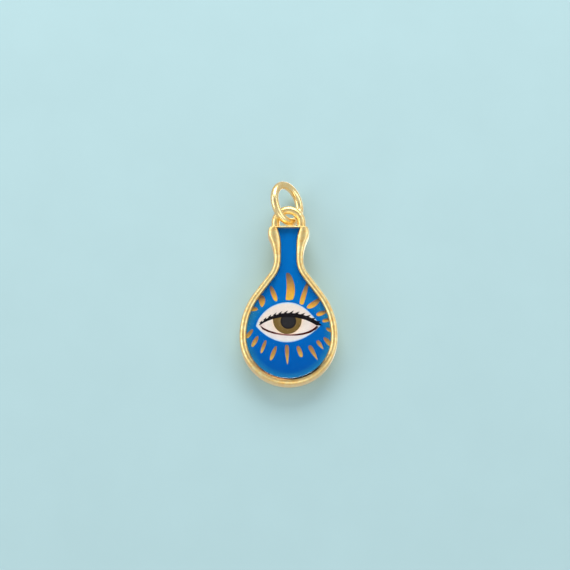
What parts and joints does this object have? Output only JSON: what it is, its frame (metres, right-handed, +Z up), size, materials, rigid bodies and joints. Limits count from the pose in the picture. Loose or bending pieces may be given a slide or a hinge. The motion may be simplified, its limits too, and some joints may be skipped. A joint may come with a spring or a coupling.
{
  "type": "evil eye ornament",
  "caption": "Flask-shaped gold charm with an enamelled eye and rays under a clear domed coat, hung from a jump ring that takes a chain.",
  "frame": {"origin": "middle of the jump ring's opening, where a chain passes", "axes": "+Z up the charm, -Y the way the eye faces, +X to the right seen from the front"},
  "size_m": [0.0109, 0.0042, 0.0235],
  "materials": {
    "ring_gold": "polished gold plating",
    "case_gold": "polished gold plating",
    "back_gold": "satin gold plating",
    "ground_white": "smooth white ground",
    "enamel_blue": "flat enamel colour under a gloss coat",
    "ray_amber": "shaded amber enamel colour",
    "ray_olive": "shaded olive enamel colour",
    "outline_pale": "flat enamel colour",
    "lid_cream": "flat enamel colour",
    "eye_white": "shaded enamel colour",
    "iris_brown": "shaded enamel colour",
    "pupil_dark": "flat enamel colour",
    "lash_dark": "flat enamel colour",
    "lid_line_maroon": "shaded enamel colour",
    "clear_resin": "clear high gloss"
  },
  "bodies": {
    "ring": {"jump_ring": "ring_gold"},
    "case": {"hanging_eye": "case_gold", "bezel_frame": "case_gold", "back_plate": "back_gold", "ground_coat": "ground_white", "enamel_field": "enamel_blue", "upper_ray_1": "ray_amber", "upper_ray_2": "ray_amber", "upper_ray_3": "ray_amber", "upper_ray_4": "ray_amber", "upper_ray_5": "ray_amber", "upper_ray_6": "ray_amber", "upper_ray_7": "ray_amber", "upper_ray_8": "ray_amber", "upper_ray_9": "ray_amber", "lower_ray_1": "ray_olive", "lower_ray_2": "ray_olive", "lower_ray_3": "ray_olive", "lower_ray_4": "ray_olive", "lower_ray_5": "ray_olive", "lower_ray_6": "ray_olive", "lower_ray_7": "ray_olive", "lower_ray_8": "ray_olive", "lower_ray_9": "ray_olive", "eye_outline": "outline_pale", "eyelid": "lid_cream", "eye_white": "eye_white", "iris": "iris_brown", "pupil": "pupil_dark", "lash_line": "lash_dark", "lower_lid_line": "lid_line_maroon", "clear_coat": "clear_resin"}
  },
  "joints": [
    {"name": "pendant_swing", "type": "hinge", "parent": "ring", "child": "case", "pos_m": [0.00016, -0.00014, -0.00215], "axis": [0, 1, 0], "range_deg": [-40, 40]}
  ]
}
